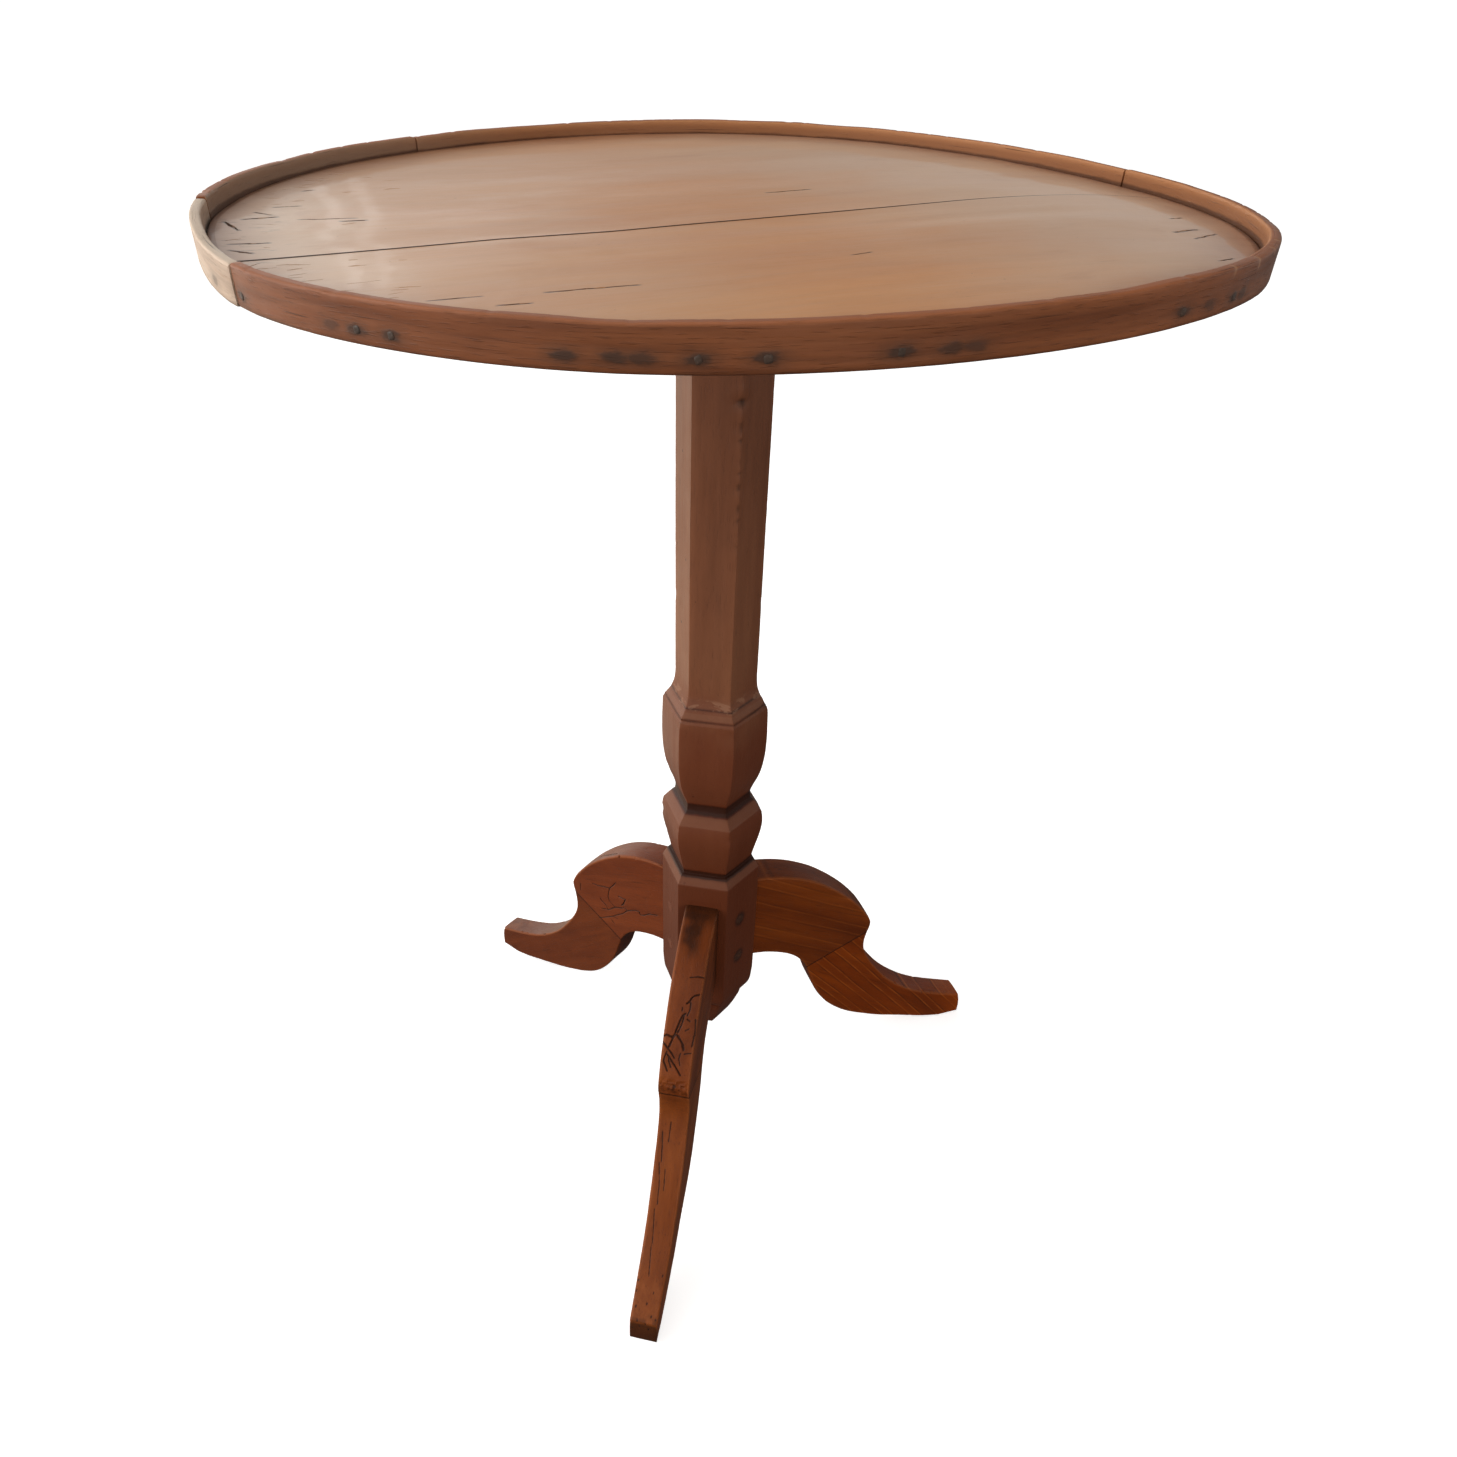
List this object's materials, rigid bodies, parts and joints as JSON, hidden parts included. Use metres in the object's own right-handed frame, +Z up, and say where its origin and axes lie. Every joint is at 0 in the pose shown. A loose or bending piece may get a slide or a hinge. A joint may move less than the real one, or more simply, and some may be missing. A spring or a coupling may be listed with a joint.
{
  "type": "tilt top table",
  "caption": "Round wooden table with a raised bent rim; its two-board top tilts upright on a block at the head of a six-sided column with cabriole legs, and a sliding bolt holds it level.",
  "frame": {"origin": "on the floor, on the axis of the column and of the round top", "axes": "+Z up along the column; +X along the grain of the top and the tilt axis, over the right leg; the top turns to face -Y when it is tilted"},
  "size_m": [0.526, 0.526, 0.72],
  "materials": {
    "column_wood": "old waxed fruitwood, satin",
    "leg_wood": "old varnished wood, satin, worn along the edges",
    "hidden_wood": "unfinished, planed, darkened with age",
    "peg_wood": "dark end grain, matte",
    "top_wood": "waxed fruitwood, soft sheen",
    "rim_wood": "bent strip, waxed, worn upper edge",
    "rim_patch_wood": "paler bent strip, waxed",
    "iron": "forged iron, dark, dull"
  },
  "bodies": {
    "pedestal": {"column": "column_wood", "pivot_block": "hidden_wood", "tenon_wedge": "hidden_wood", "front_leg_knee": "leg_wood", "front_leg_foot": "leg_wood", "left_leg_knee": "leg_wood", "left_leg_foot": "leg_wood", "right_leg_knee": "leg_wood", "right_leg_foot": "leg_wood", "leg_pegs": "peg_wood", "keeper_plate": "iron", "keeper_screws": "iron"},
    "top": {"front_board": "top_wood", "rear_board": "top_wood", "seam_dowels": "peg_wood", "rim_front": "rim_wood", "rim_rear": "rim_wood", "rim_left": "rim_wood", "rim_patch": "rim_patch_wood", "rim_nails": "iron", "left_batten": "hidden_wood", "right_batten": "hidden_wood", "batten_screws": "iron", "bolt_plate": "iron", "bolt_plate_screws": "iron"},
    "bolt": {"bolt_bar": "iron", "bolt_knob": "iron"}
  },
  "joints": [
    {"name": "top_tilt", "type": "hinge", "parent": "pedestal", "child": "top", "pos_m": [0, -0.027, 0.682], "axis": [1, 0, 0], "range_deg": [0, 90]},
    {"name": "bolt_slide", "type": "slide", "parent": "top", "child": "bolt", "axis": [0, -1, 0], "range_m": [0, 0.01]}
  ]
}
